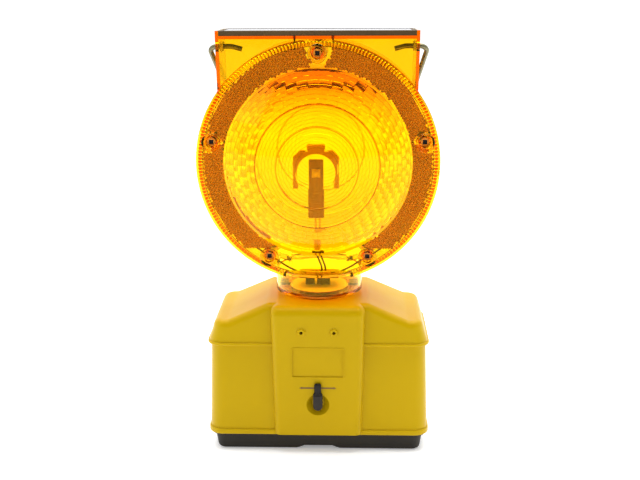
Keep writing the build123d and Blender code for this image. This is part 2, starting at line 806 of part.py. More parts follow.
def make_led(name, side):
    """One lamp on the board's face: a square body under a round lens."""
    cut_depth = 10.0
    with BuildPart() as led:
        with BuildSketch(Plane.XZ.offset(-side * board_half_thick)):
            with Locations((lamp_x, lamp_z)):
                RectangleRounded(led_side, led_side, 0.6)
        extrude(amount=-side * led_height)
        with Locations((lamp_x, side * (board_half_thick + led_height), lamp_z)):
            Sphere(led_dome_radius)
        # flat against the board
        with Locations((lamp_x, side * (board_half_thick - cut_depth / 2), lamp_z)):
            Box(20, cut_depth, 20, mode=Mode.SUBTRACT)
    keep(name, led.part)


def make_led_carrier():
    """An arch round the lamp, with a tab on top that is held by the stand's rails."""
    right = [
        (tab_half, tab_top),
        (tab_half, arch_top),
        (arch_half - arch_chamfer, arch_top),
        (arch_half, arch_top - arch_chamfer),
        (arch_half, arch_low),
    ]
    left = [(-x, z) for x, z in reversed(right)]
    outline = [(lamp_x + x, z) for x, z in right + left]
    with BuildPart() as carrier:
        with BuildSketch(Plane.XZ.offset(-board_half_thick)):
            with BuildLine():
                Polyline(*outline, close=True)
            make_face()
            with Locations((lamp_x, lamp_z)):
                Circle(arch_opening, mode=Mode.SUBTRACT)
            with Locations((lamp_x, arch_low)):
                Rectangle(2 * arch_leg_inner, 16, mode=Mode.SUBTRACT)
        extrude(amount=arch_thickness)
    keep("led_carrier", carrier.part)


def make_board_stand():
    """A clear bridge on the cup's floor, with two rails that hold the lamp board and its arch."""
    leg_x, leg_width = 24.0, 2.6
    foot_x, foot_width = 28.5, 9.0
    floor = cup_bottom + frame_wall
    up = (Align.CENTER, Align.CENTER, Align.MIN)
    down = (Align.CENTER, Align.CENTER, Align.MAX)
    rail_x = (rail_inner + rail_outer) / 2
    rail_y = board_half_thick + rail_depth / 2
    rail_places = [(lamp_x - rail_x, rail_y, bridge_z), (lamp_x + rail_x, rail_y, bridge_z)]
    with BuildPart() as stand:
        with Locations((0, 0, bridge_z)):
            Box(2 * leg_x + leg_width, 2 * bridge_half_y, bridge_thickness, align=down)
        with Locations((-leg_x, 0, floor), (leg_x, 0, floor)):
            Box(leg_width, 2 * bridge_half_y, bridge_z - floor, align=up)
        with Locations((-foot_x, 0, floor), (foot_x, 0, floor)):
            Box(foot_width, 2 * bridge_half_y, 2, align=up)
        # ledges under the driver board's ends
        ledge_x = (leg_x + ledge_inner) / 2
        with Locations((-ledge_x, 3.5, control_low), (ledge_x, 3.5, control_low)):
            Box(leg_x - ledge_inner, 5, 2.4, align=down)
        with Locations(*rail_places):
            Box(rail_outer - rail_inner, rail_depth, tab_top - bridge_z, align=up)
        with Locations((lamp_x, rail_y, arch_top)):
            Box(2 * rail_outer, rail_depth, tab_top - arch_top, align=up)
        with Locations((lead_slot_x, 0, bridge_z)):
            Box(7, 2.6, 12, mode=Mode.SUBTRACT)
        with Locations(*[(x, y, control_low) for x, y in control_screw_places]):
            Cylinder(0.95, 12, mode=Mode.SUBTRACT)
        # feet follow the cup's round wall
        with Locations((0, 0, floor)):
            Cylinder(cup_radius - frame_wall - 0.4, 280, mode=Mode.INTERSECT)
    keep("board_stand", stand.part)


def make_wire_clip():
    """A dark clip on the bridge that holds the lamp board's two leads."""
    with BuildPart() as clip:
        with Locations((lead_slot_x, -1.2, bridge_z)):
            Box(12, 3.8, 1.8, align=(Align.CENTER, Align.CENTER, Align.MIN))
        with Locations((lead_slot_x, 0, bridge_z)):
            Box(5.6, 1.9, 8, mode=Mode.SUBTRACT)
    keep("wire_clip", clip.part)


def make_control_board():
    """The driver board, across the cup."""
    with BuildPart() as board:
        with BuildSketch(Plane.XY.offset(control_low)):
            RectangleRounded(2 * control_half_x, 2 * control_half_y, 2)
            with Locations(*control_screw_places):
                Circle(1.0, mode=Mode.SUBTRACT)
        extrude(amount=control_high - control_low)
    keep("control_board", board.part)


def make_control_board_screws():
    with BuildPart() as screws:
        with Locations(*[(x, y, control_high) for x, y in control_screw_places]):
            Cylinder(1.7, 1.3, align=(Align.CENTER, Align.CENTER, Align.MIN))
            Cylinder(0.9, 5.0, align=(Align.CENTER, Align.CENTER, Align.MAX))
        with Locations(*[(x, y, control_high + 1.3) for x, y in control_screw_places]):
            Box(2.6, 0.5, 1.0, mode=Mode.SUBTRACT)
    keep("control_board_screws", screws.part)


def make_terminal_blocks():
    """Two blocks under the board, each with a clamp screw on its front."""
    block_y, block_depth, block_height = -6.3, 8.0, 5.6
    with BuildPart() as terminals:
        for x in (-7.2, 5.4):
            with Locations((x, block_y, control_low)):
                Box(7.6, block_depth, block_height, align=(Align.CENTER, Align.CENTER, Align.MAX))
            with Locations((x, block_y - block_depth / 2, control_low - block_height / 2)):
                Cylinder(1.9, 1.6, rotation=(90, 0, 0))
    keep("terminal_blocks", terminals.part)


def make_light_sensor():
    with BuildPart() as sensor:
        with Locations((0, -7.0, control_high)):
            Cylinder(2.6, 3.2, align=(Align.CENTER, Align.CENTER, Align.MIN))
        fillet(sensor.edges().sort_by(Axis.Z)[-1], 0.8)
    keep("light_sensor", sensor.part)


def make_led_wires():
    """The two leads from the lamp board's foot down to the driver board."""
    with BuildPart() as wires:
        for top_x, bend_z, low_x in ((-2.6, 159.0, 2.0), (0.4, 159.5, 5.0)):
            route = [
                (top_x, 0, board_low),
                (top_x, 0, bend_z),
                (low_x, 1.5, 147.0),
                (low_x + 0.3, 2.0, control_high + 0.1),
            ]
            add(wire_along(route, wire_skin_radius))
    keep("led_wires", wires.part)


def make_panel_wire(name, side, start_x):
    """A lead from the solar panel, behind the reflector ring, round to the driver board.
    It passes inside the upper screw bosses and behind the lower ones."""
    points = [(start_x, wire_y, shoulder_top), (start_x, wire_y, 322.0)]
    stations = [(angle, 78.5, wire_y) for angle in (24, 46, 68, 90)]
    stations += [(108, 83.0, wire_y), (126, 88.0, -9.0), (140, 90.6, -3.6), (152, 91.3, -3.4)]
    for angle, ring, y in stations:
        turn = math.radians(angle)
        points.append((side * ring * math.sin(turn), y, axis_z + ring * math.cos(turn)))
    points += [
        (side * 36.0, -4.2, 155.0),
        (side * 27.5, -9.6, 150.6),
        (side * 18.0, -9.6, 145.8),
        (side * 10.5, -9.0, control_high + 0.8),
    ]
    keep(name, wire_along(points, wire_skin_radius))


def make_solar_panel():
    height = post_top - shoulder_top
    cell_half_x, cell_half_y = panel_half_x - panel_border, panel_half_y - panel_border
    with BuildPart() as tray:
        with Locations((0, 0, shoulder_top)):
            Box(
                2 * panel_half_x,
                2 * panel_half_y,
                height,
                align=(Align.CENTER, Align.CENTER, Align.MIN),
            )
        fillet(tray.edges().group_by(Axis.Z)[-1], 0.8)
        with Locations((0, 0, post_top)):
            Box(2 * cell_half_x, 2 * cell_half_y, 2 * panel_pocket, mode=Mode.SUBTRACT)
    keep("solar_panel_frame", tray.part)
    with BuildPart() as cells:
        with Locations((0, 0, post_top - panel_pocket)):
            Box(
                2 * cell_half_x - 0.2,
                2 * cell_half_y - 0.2,
                panel_pocket - 0.2,
                align=(Align.CENTER, Align.CENTER, Align.MIN),
            )
    keep("solar_cells", cells.part)


def make_neck_retainer():
    """The ring that holds the spigot in the hood from inside."""
    top = roof_high - wall - 0.3
    with BuildPart() as ring:
        with BuildSketch(Plane.XY.offset(top)):
            Circle(retainer_radius)
            Circle(spigot_radius + 0.02, mode=Mode.SUBTRACT)
        extrude(amount=-retainer_thickness)
    keep("neck_retainer", ring.part)


def make_neck_disc():
    """A disc that closes the spigot's mouth in the cup's floor, with a hole for the lead."""
    with BuildPart() as disc:
        with BuildSketch(Plane.XY.offset(cup_bottom + frame_wall - 0.1)):
            Circle(spigot_radius - frame_wall - 0.1)
            Circle(lead_radius + 0.4, mode=Mode.SUBTRACT)
        extrude(amount=-neck_disc_thickness)
    keep("neck_disc", disc.part)


def make_bail_bushes():
    with BuildPart() as bushes:
        for side in (-1, 1):
            with BuildSketch(Plane.YZ.offset(side * 75.2)):
                with Locations((0, bail_z)):
                    Circle(bush_radius - 0.05)
                    Circle(wire_radius + 0.08, mode=Mode.SUBTRACT)
            extrude(amount=side * 5.0)
            with BuildSketch(Plane.YZ.offset(side * 79.1)):
                with Locations((0, bail_z)):
                    Circle(bush_radius + 1.2)
                    Circle(wire_radius + 0.08, mode=Mode.SUBTRACT)
            extrude(amount=side * 0.9)
    keep("bail_bushes", bushes.part)


def make_bail():
    """A bent wire, folded back behind the head, whose ends turn in the frame's bushes."""
    droop = math.radians(bail_droop)
    bar_y, bar_z = bail_reach * math.cos(droop), bail_z - bail_reach * math.sin(droop)
    half = [
        (60.5, 0, bail_z - 2.2),
        (69.0, 0, bail_z),
        (bail_half_width, 0, bail_z),
        (bail_bar_half, bar_y, bar_z),
    ]
    points = half + [(-x, y, z) for x, y, z in reversed(half)]
    with BuildPart() as bail:
        with BuildLine() as path:
            FilletPolyline(*points, radius=[12, 6, 10, 10, 6, 12])
        with BuildSketch(Plane(origin=path.line @ 0, z_dir=path.line % 0)):
            Circle(wire_radius)
        sweep(path=path.line)
    keep("bail_handle", bail.part)


# ---- build and write ----------------------------------------------------------------------

make_base_tray()
make_washer_plate()
make_lock_catch()
make_catch_screws()
for side, word in ((-1, "left"), (1, "right")):
    make_battery(f"battery_{word}", side)
    make_battery_springs(f"battery_{word}_springs", side)

make_hood()
make_direction_mark()
make_contact_board()
make_contact_strips()
make_contact_board_screws()
make_cable_socket()
make_neck_cable()
make_lever_washer()

make_lock_lever()
make_lever_grip()
make_lock_cam()
make_cam_screw()

make_head_frame()
front_lens = make_lens()
front_reflector = make_reflector()
keep("front_lens", front_lens)
keep("rear_lens", mirror(front_lens, about=Plane.XZ))
keep("front_reflector", front_reflector)
keep("rear_reflector", mirror(front_reflector, about=Plane.XZ))
make_lens_screws()
make_lens_nuts()
make_led_board()
make_led("front_led", -1)
make_led("rear_led", 1)
make_led_carrier()
make_board_stand()
make_wire_clip()
make_control_board()
make_control_board_screws()
make_terminal_blocks()
make_light_sensor()
make_led_wires()
make_panel_wire("panel_wire_left", -1, panel_wire_x[0])
make_panel_wire("panel_wire_right", 1, panel_wire_x[1])
make_solar_panel()
make_neck_retainer()
make_neck_disc()
make_bail_bushes()
make_bail()

os.makedirs("parts", exist_ok=True)
for name, shape in parts.items():
    export_step(shape, f"parts/{name}.step")
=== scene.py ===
import math

import bmesh
import bpy
import numpy as np
from mathutils import Matrix, Vector


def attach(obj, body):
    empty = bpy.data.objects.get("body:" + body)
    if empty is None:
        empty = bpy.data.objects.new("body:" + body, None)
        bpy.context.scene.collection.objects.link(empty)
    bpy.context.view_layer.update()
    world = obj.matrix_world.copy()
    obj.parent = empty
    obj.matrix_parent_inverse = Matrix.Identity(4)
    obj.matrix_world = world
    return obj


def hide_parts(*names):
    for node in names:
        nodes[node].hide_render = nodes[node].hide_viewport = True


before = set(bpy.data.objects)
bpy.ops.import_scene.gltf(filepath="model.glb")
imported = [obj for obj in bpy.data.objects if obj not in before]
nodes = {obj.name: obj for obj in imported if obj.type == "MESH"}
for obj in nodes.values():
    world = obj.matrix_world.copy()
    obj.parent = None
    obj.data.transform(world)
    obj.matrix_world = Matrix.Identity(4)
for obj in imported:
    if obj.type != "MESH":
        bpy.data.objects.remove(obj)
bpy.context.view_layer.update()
MM = 0.001

# ---- measures in millimetres --------------------------------------------------------------

# the lens: a domed window in a flat rim
AXIS_Z = 238.5                               # height of the axis that both lenses share
WINDOW_R, DOME_H, DOME_WALL = 75.0, 23.0, 3.0
LENS_R = 97.0
FACE, BACK = -25.0, -22.08                   # front and back of the rim, a hair off the frame
CUP_R, CUP_TOP = 36.2, 150.2                 # the neck cup, which cuts into the rim's foot
KNURL_IN, KNURL_OUT = 91.7, 95.1             # knurled band on the rim's back
KNURL_WAVES, KNURL_BASE, KNURL_HEIGHT = 108, 0.15, 0.75

# the prisms inside the window: fine rings with two strong ones, then rows of bricks
PRISM_R = 72.5
RING_START, RING_PITCH, RING_COUNT = 16.5, 2.67, 13
RING_LOW, RING_RISE, RING_SPREAD = 0.16, 0.40, 32.0
STRONG_RINGS, STRONG_HEIGHT, STRONG_WIDTH = (31.9, 48.5), 0.5, 0.35
BRICK_START, BRICK_END = 49.0, 72.4
BRICK_ROW, BRICK_LENGTH, BRICK_ROWS = 3.4, 9.0, 8
BRICK_PILLOW, BRICK_WEDGE = 0.55, 0.75

# lens screws, with the boss round each
SCREW_CIRCLE = 86.3
SCREW_ANGLES = (90.0, 11.5, 168.5, -62.5, 242.5)
RECESS_Y = 20.9                              # bottom of the heads' recess, from the middle
BOSS_HOLE_R, BOSS_HOLE_END = 7.56, -1.3      # the rim's hole round a boss
BOSS_PROFILE = (                             # (radius, y), from the bore outwards and back
    (2.15, -19.0),
    (4.2, -19.0),
    (4.2, -25.3),
    (4.5, -25.6),
    (5.5, -25.6),
    (5.7, -25.35),
    (6.1, -25.35),
    (6.3, -25.6),
    (7.1, -25.6),
    (7.5, -25.2),
    (7.5, -22.0),
    (5.0, -22.0),
    (5.0, -5.0),
    (2.15, -5.0),
)

# the ring of corner-prism sheet
SHEET_IN, SHEET_OUT, SHEET_MARGIN = 75.6, 91.4, 0.5
SHEET_FRONT, SHEET_BACK = -21.9, -20.5
NOTCH_RADII = (11.2, 9.0, 9.0, 6.4, 6.4)     # cut away round each screw, in the screws' order
GAP_ANGLE, GAP_TOP = 30.0, 168.6             # the open stretch at the bottom
CELL, CELL_DEPTH = 2.2, 0.9                  # width and depth of one corner prism

CLIP_Z = 165.0                               # top of the clip on the lamp leads
CELL_PITCH_X, CELL_PITCH_Y = 24.4, 18.2      # the solar cells' seams
FINGER_PITCH = 2.2                           # and the fine lines on them

# ---- colours ------------------------------------------------------------------------------

WHITE = (1.0, 1.0, 1.0)
# painted shade on the lens: the orange laid along its prism edges and over its top
PAINTED_SHADE_ORANGE = (0.80, 0.34, 0.02)
AMBER_ABSORB = (0.998, 0.962, 0.0)
AMBER_DENSITY = 1150.0                       # per metre of plastic
AMBER_SHEEN = (1.0, 0.70, 0.10)              # tint of its reflections
AMBER_PASSING = (1.0, 0.95, 0.60)            # tint of the light it lets through
MATT = {"Specular_IOR_Level": 0.25}

# ---- node helpers -------------------------------------------------------------------------


class Shader:
    """A material's node tree with short ways to add and wire nodes."""

    def __init__(self, name):
        self.material = bpy.data.materials.new(name)
        self.material.use_nodes = True
        self.tree = self.material.node_tree
        self.tree.nodes.clear()
        self.output = self.add("ShaderNodeOutputMaterial")
        self.coords = self.add("ShaderNodeTexCoord").outputs["Object"]

    def add(self, kind, **settings):
        node = self.tree.nodes.new(kind)
        for key, value in settings.items():
            setattr(node, key, value)
        return node

    def wire(self, source, target):
        self.tree.links.new(source, target)

    def math(self, operation, a, b=None, c=None):
        node = self.add("ShaderNodeMath", operation=operation)
        for socket, value in zip(node.inputs, (a, b, c)):
            if value is None:
                continue
            if isinstance(value, (int, float)):
                socket.default_value = value
            else:
                self.wire(value, socket)
        return node.outputs[0]

    def smooth(self, value, low, high):
        """A soft step from 0 at low to 1 at high."""
        node = self.add("ShaderNodeMapRange", interpolation_type="SMOOTHSTEP")
        self.wire(value, node.inputs["Value"])
        node.inputs["From Min"].default_value = low
        node.inputs["From Max"].default_value = high
        return node.outputs["Result"]

    def span(self, value, low, high):
        """A value in 0..1 spread over low..high."""
        node = self.add("ShaderNodeMapRange")
        self.wire(value, node.inputs["Value"])
        node.inputs["To Min"].default_value = low
        node.inputs["To Max"].default_value = high
        return node.outputs["Result"]

    def noise(self, scale, detail=3.0, rough=0.55, stretch=None):
        source = self.coords
        if stretch:
            mapping = self.add("ShaderNodeMapping")
            mapping.inputs["Scale"].default_value = stretch
            self.wire(source, mapping.inputs["Vector"])
            source = mapping.outputs[0]
        node = self.add("ShaderNodeTexNoise")
        node.inputs["Scale"].default_value = scale
        node.inputs["Detail"].default_value = detail
        node.inputs["Roughness"].default_value = rough
        self.wire(source, node.inputs["Vector"])
        return node.outputs["Fac"]

    def blend(self, factor, a, b):
        """A colour between a and b."""
        node = self.add("ShaderNodeMix", data_type="RGBA")
        self.wire(factor, node.inputs["Factor"])
        colours = [socket for socket in node.inputs if socket.type == "RGBA"]
        for socket, value in zip(colours, (a, b)):
            if isinstance(value, tuple):
                socket.default_value = (*value, 1.0)
            else:
                self.wire(value, socket)
        return next(socket for socket in node.outputs if socket.type == "RGBA")

    def axis(self, letter):
        """One coordinate of the shaded point, in metres."""
        split = self.add("ShaderNodeSeparateXYZ")
        self.wire(self.coords, split.inputs[0])
        return split.outputs[letter]

    def bump(self, height, distance, strength=1.0, normal=None):
        node = self.add("ShaderNodeBump")
        node.inputs["Distance"].default_value = distance
        node.inputs["Strength"].default_value = strength
        self.wire(height, node.inputs["Height"])
        if normal is not None:
            self.wire(normal, node.inputs["Normal"])
        return node.outputs["Normal"]

    def principled(self, colour, rough, normal=None, **sockets):
        """The surface; other sockets are given by name, with _ for a space."""
        node = self.add("ShaderNodeBsdfPrincipled")
        self.wire(colour, node.inputs["Base Color"])
        if isinstance(rough, float):
            node.inputs["Roughness"].default_value = rough
        else:
            self.wire(rough, node.inputs["Roughness"])
        if normal is not None:
            self.wire(normal, node.inputs["Normal"])
        for key, value in sockets.items():
            node.inputs[key.replace("_", " ")].default_value = value
        self.wire(node.outputs[0], self.output.inputs["Surface"])
        return node


def worn(shader, colour, dark, rough, fine=900.0, depth=0.00006, **extra):
    """The usual finish: uneven colour and roughness over a fine moulded or ground grain."""
    cloud = shader.noise(14.0, 4.0)
    specks = shader.noise(fine, 2.0)
    tint = shader.blend(shader.smooth(cloud, 0.3, 0.75), dark, colour)
    roughness = shader.span(shader.noise(45.0, 3.0), rough[0], rough[1])
    normal = shader.bump(specks, depth, 0.6)
    shader.principled(tint, roughness, normal, **extra)


# ---- materials ----------------------------------------------------------------------------


def make_yellow():
    s = Shader("yellow_moulding")
    cloud = s.noise(9.0, 4.0)
    tint = s.blend(s.smooth(cloud, 0.3, 0.75), (0.50, 0.325, 0.0), (0.54, 0.35, 0.0))
    scuffs = s.smooth(s.noise(60.0, 6.0, 0.7, stretch=(1.0, 1.0, 5.0)), 0.66, 0.80)
    tint = s.blend(s.math("MULTIPLY", scuffs, 0.18), tint, (0.60, 0.40, 0.02))
    grain = s.noise(1500.0, 2.0)
    swell = s.noise(28.0, 2.0)
    normal = s.bump(grain, 0.00004, 0.5, s.bump(swell, 0.0004, 0.35))
    rough = s.span(s.noise(80.0, 3.0), 0.30, 0.42)
    sheen = (1.0, 0.85, 0.25, 1.0)
    s.principled(tint, rough, normal, Specular_IOR_Level=0.3, Specular_Tint=sheen)
    return s.material


def make_black():
    s = Shader("black_moulding")
    worn(s, (0.020, 0.016, 0.010), (0.012, 0.010, 0.006), (0.45, 0.6), 1200.0, 0.00008, **MATT)
    return s.material


def make_metal(name, colour, dark, rough=(0.28, 0.5)):
    s = Shader(name)
    cloud = s.noise(120.0, 5.0, 0.65)
    tint = s.blend(s.smooth(cloud, 0.3, 0.7), dark, colour)
    normal = s.bump(s.noise(1400.0), 0.00003, 0.6)
    s.principled(tint, s.span(cloud, rough[0], rough[1]), normal, Metallic=1.0)
    return s.material


def make_plain(name, colour, dark, rough, **extra):
    s = Shader(name)
    worn(s, colour, dark, rough, **extra)
    return s.material


def clear_plastic(name, colour, absorb, density, sheen, passing, lines=None):
    """Clear plastic whose colour deepens with its thickness, with a faint moulding ripple."""
    s = Shader(name)
    ripple = s.noise(55.0, 2.0)
    paler = tuple(min(1.0, c * 1.04) for c in colour)
    tint = s.blend(s.smooth(ripple, 0.3, 0.7), colour, paler)
    # when lines are given, painted shade in orange is laid over the tint
    if lines is not None:
        tint = s.blend(lines(s), tint, PAINTED_SHADE_ORANGE)
    glass = s.principled(
        tint,
        s.span(s.noise(180.0, 2.0), 0.03, 0.07),
        s.bump(ripple, 0.00012, 0.25),
        Transmission_Weight=1.0,
        IOR=1.49,
        Specular_Tint=(*sheen, 1.0),
    )
    # the studio's light passes straight through, coloured
    through = s.add("ShaderNodeBsdfTransparent")
    through.inputs["Color"].default_value = (*passing, 1.0)
    choice = s.add("ShaderNodeMixShader")
    s.wire(s.add("ShaderNodeLightPath").outputs["Is Shadow Ray"], choice.inputs["Fac"])
    s.wire(glass.outputs[0], choice.inputs[1])
    s.wire(through.outputs[0], choice.inputs[2])
    s.wire(choice.outputs[0], s.output.inputs["Surface"])
    volume = s.add("ShaderNodeVolumeAbsorption")
    volume.inputs["Color"].default_value = (*absorb, 1.0)
    volume.inputs["Density"].default_value = density
    s.wire(volume.outputs[0], s.output.inputs["Volume"])
    return s.material


def lens_painted_shade(s):
    """Painted shade along the window's prism edges (fine rings, two strong ones, then bricks) and
    over the window's top.
    """
    x = s.axis("X")
    z = s.math("SUBTRACT", s.axis("Z"), AXIS_Z * MM)
    square = s.math("ADD", s.math("MULTIPLY", x, x), s.math("MULTIPLY", z, z))
    radius = s.math("MULTIPLY", s.math("SQRT", square), 1 / MM)
    turn = s.math("DIVIDE", s.math("ARCTAN2", z, x), 2 * math.pi)

    def between(low, high):
        over, under = s.math("GREATER_THAN", radius, low), s.math("LESS_THAN", radius, high)
        return s.math("MULTIPLY", over, under)

    def near_whole(value, width):
        """1 where a value is close to a whole number."""
        part = s.math("FRACT", s.math("ADD", value, 0.5))
        off = s.math("ABSOLUTE", s.math("SUBTRACT", part, 0.5))
        return s.math("SUBTRACT", 1.0, s.smooth(off, width * 0.4, width))

    rings = s.math("DIVIDE", s.math("SUBTRACT", radius, RING_START), RING_PITCH)
    fine = s.math("MULTIPLY", near_whole(rings, 0.16), between(RING_START, BRICK_START - 1.0))
    total = s.math("MULTIPLY", fine, 0.28)
    for edge in STRONG_RINGS:
        off = s.math("ABSOLUTE", s.math("SUBTRACT", radius, edge))
        strong = s.math("SUBTRACT", 1.0, s.smooth(off, 0.12, 0.55))
        total = s.math("MAXIMUM", total, strong)
    place = s.math("DIVIDE", s.math("SUBTRACT", radius, BRICK_START), BRICK_ROW)
    row = s.math("FLOOR", place)
    middle = s.math("MULTIPLY_ADD", s.math("ADD", row, 0.5), BRICK_ROW, BRICK_START)
    count = s.math("ROUND", s.math("MULTIPLY", middle, 2 * math.pi / BRICK_LENGTH))
    along = s.math("ADD", s.math("MULTIPLY", turn, count), s.math("MULTIPLY", row, 0.5))
    joints = s.math("MAXIMUM", near_whole(place, 0.17), near_whole(along, 0.07))
    bricks = s.math("MULTIPLY", joints, between(BRICK_START, BRICK_END))
    # painted shade: the bricks' lines are stronger towards the top, and orange painted shade
    # covers all there
    rise = s.smooth(z, -0.02, 0.06)
    streak = s.span(s.smooth(s.noise(95.0, 3.0), 0.40, 0.62), 0.25, 1.0)
    depth = s.math("MULTIPLY", streak, s.span(rise, 0.30, 1.0))
    painted_top_shade = s.smooth(z, 0.020, 0.072)
    drawn = s.math("MAXIMUM", total, s.math("MULTIPLY", bricks, depth))
    return s.math("MAXIMUM", drawn, painted_top_shade)


def make_prism_sheet():
    """Brown-orange prism sheet, uneven from cell to cell."""
    s = Shader("prism_sheet")
    cloud = s.noise(35.0, 3.0)
    cells = s.noise(700.0, 1.0)
    deep = s.blend(s.smooth(cloud, 0.3, 0.7), (0.50, 0.19, 0.012), (0.66, 0.28, 0.02))
    tint = s.blend(s.smooth(cells, 0.35, 0.65), deep, (0.90, 0.44, 0.05))
    s.principled(tint, s.span(cloud, 0.22, 0.4), s.bump(cells, 0.0001, 0.4), Metallic=0.35)
    return s.material


def make_screw():
    """Bronze-coloured screw heads with painted shade, near black, in their square recess."""
    s = Shader("screw_finish")
    # painted shade: everything nearer the middle than the recess bottom is painted near black
    deep = s.math("LESS_THAN", s.math("ABSOLUTE", s.axis("Y")), RECESS_Y * MM)
    cloud = s.noise(150.0, 4.0)
    tone = s.blend(s.smooth(cloud, 0.3, 0.7), (0.62, 0.26, 0.02), (0.80, 0.36, 0.03))
    tint = s.blend(deep, tone, (0.012, 0.006, 0.003))
    normal = s.bump(s.noise(900.0), 0.00003)
    s.principled(tint, s.span(cloud, 0.35, 0.5), normal, Specular_IOR_Level=0.2)
    return s.material


def make_lead_skin():
    """The lamp leads: clear sleeves above the clip, brown skins below it."""
    s = Shader("lead_skin")
    above = s.math("GREATER_THAN", s.axis("Z"), CLIP_Z * MM)
    grain = s.noise(500.0, 2.0)
    brown = s.blend(grain, (0.035, 0.016, 0.008), (0.06, 0.028, 0.012))
    tint = s.blend(above, brown, (1.0, 0.80, 0.30))
    s.principled(tint, s.span(grain, 0.35, 0.5), s.bump(grain, 0.00003, 0.5))
    return s.material


def make_board():
    s = Shader("board_laminate")
    weave = s.noise(900.0, 2.0, stretch=(1.0, 1.0, 0.2))
    tint = s.blend(s.smooth(weave, 0.35, 0.65), (0.36, 0.16, 0.03), (0.46, 0.21, 0.04))
    s.principled(tint, s.span(s.noise(60.0), 0.3, 0.5), s.bump(weave, 0.00003, 0.5))
    return s.material


def make_cells():
    """Dark blue cells with dark seams between them and fine pale lines."""
    s = Shader("solar_cells")

    def stripes(axis, pitch, width):
        turn = s.math("MULTIPLY", s.axis(axis), 1.0 / (pitch * MM))
        near = s.math("ABSOLUTE", s.math("SUBTRACT", s.math("FRACT", turn), 0.5))
        return s.math("LESS_THAN", near, width / pitch / 2)

    bars = s.math("MAXIMUM", stripes("X", CELL_PITCH_X, 0.9), stripes("Y", CELL_PITCH_Y, 0.8))
    fingers = stripes("Y", FINGER_PITCH, 0.18)
    cloud = s.noise(70.0, 4.0)
    blue = s.blend(s.smooth(cloud, 0.3, 0.7), (0.012, 0.018, 0.055), (0.02, 0.03, 0.09))
    tint = s.blend(s.math("MULTIPLY", fingers, 0.35), blue, (0.35, 0.36, 0.38))
    tint = s.blend(bars, tint, (0.02, 0.02, 0.022))
    s.principled(tint, s.span(cloud, 0.12, 0.22), s.bump(bars, 0.0001, 0.3), Coat_Weight=0.6)
    return s.material


yellow = make_yellow()
black = make_black()
galvanised = make_metal("galvanised_wire", (0.27, 0.25, 0.15), (0.15, 0.135, 0.07), (0.4, 0.6))
screw_finish = make_screw()
lead_skin = make_lead_skin()
zinc = make_metal("zinc_plate", (0.62, 0.60, 0.55), (0.42, 0.41, 0.37))
brass = make_metal("brass_contact", (0.75, 0.55, 0.22), (0.5, 0.35, 0.13))
dark_plastic = make_plain(
    "dark_plastic", (0.022, 0.016, 0.012), (0.014, 0.010, 0.008), (0.35, 0.5), **MATT
)
rubber = make_plain(
    "dark_rubber", (0.018, 0.013, 0.010), (0.011, 0.009, 0.007), (0.5, 0.7), **MATT
)
# painted light: a brighter, amber-tinted copy of the white nylon, for the light that glows through
# the neck cup
neck_painted_glow_nylon = make_plain("neck_painted_glow_nylon", (1.0, 0.84, 0.42), (0.92, 0.74, 0.32), (0.3, 0.45))
nylon = make_plain("white_nylon", (0.75, 0.72, 0.64), (0.62, 0.58, 0.5), (0.35, 0.5))
wire_skin = make_plain("wire_skin", (0.035, 0.02, 0.012), (0.02, 0.012, 0.008), (0.35, 0.5))
battery_sleeve = make_plain("battery_sleeve", (0.045, 0.09, 0.17), (0.03, 0.06, 0.12), (0.35, 0.5))
mark_ink = make_plain("mark_ink", (0.22, 0.11, 0.008), (0.16, 0.075, 0.006), (0.5, 0.7))
panel_trim = make_plain(
    "panel_trim", (0.10, 0.058, 0.016), (0.065, 0.036, 0.010), (0.4, 0.6), **MATT
)
carrier = make_plain("lamp_carrier", (0.88, 0.46, 0.06), (0.70, 0.33, 0.04), (0.4, 0.55))
board = make_board()
cells = make_cells()
prism_sheet = make_prism_sheet()


def amber_plastic(name, colour, strength=1.0, lines=None):
    return clear_plastic(
        name, colour, AMBER_ABSORB, strength * AMBER_DENSITY, AMBER_SHEEN, AMBER_PASSING, lines
    )


amber = amber_plastic("amber_moulding", (1.0, 0.78, 0.55))
boss_amber = amber_plastic("amber_boss", (0.97, 0.66, 0.40), strength=1.5)
lens_amber = amber_plastic("amber_lens", (1.0, 0.79, 0.55), lines=lens_painted_shade)
clear = clear_plastic("clear_moulding", (1.0, 1.0, 0.98), (0.99, 0.96, 0.85), 60.0, WHITE, WHITE)
# painted highlight: the LEDs and sensor are a bright pale orange in place of clear epoxy, for the
# glint on them
lamp = make_plain("lamp_painted_glint", (1.0, 0.78, 0.32), (0.90, 0.60, 0.18), (0.10, 0.18))

FINISH = {
    "base_tray": black,
    "washer_plate": zinc,
    "lock_catch": zinc,
    "catch_screws": zinc,
    "battery_left": battery_sleeve,
    "battery_right": battery_sleeve,
    "battery_left_springs": brass,
    "battery_right_springs": brass,
    "hood": yellow,
    "direction_mark": mark_ink,
    "contact_board": board,
    "contact_strips": brass,
    "contact_board_screws": zinc,
    "cable_socket": nylon,
    "neck_cable": wire_skin,
    "lever_washer": zinc,
    "lock_lever": dark_plastic,
    "lever_grip": rubber,
    "lock_cam": zinc,
    "cam_screw": zinc,
    "head_frame": amber,
    "front_lens": amber,
    "rear_lens": amber,
    "front_reflector": prism_sheet,
    "rear_reflector": prism_sheet,
    "lens_screws": screw_finish,
    "lens_nuts": zinc,
    "led_board": board,
    "front_led": lamp,
    "rear_led": lamp,
    "led_carrier": carrier,
    "board_stand": clear,
    "wire_clip": dark_plastic,
    "control_board": board,
    "control_board_screws": zinc,
    "terminal_blocks": dark_plastic,
    "light_sensor": lamp,
    "led_wires": lead_skin,
    "panel_wire_left": wire_skin,
    "panel_wire_right": wire_skin,
    "solar_panel_frame": panel_trim,
    "solar_cells": cells,
    "neck_retainer": nylon,
    "neck_disc": neck_painted_glow_nylon,
    "bail_bushes": nylon,
    "bail_handle": galvanised,
}
for name, node in nodes.items():
    node.data.materials.clear()
    node.data.materials.append(FINISH[name])

# ---- mesh helpers -------------------------------------------------------------------------


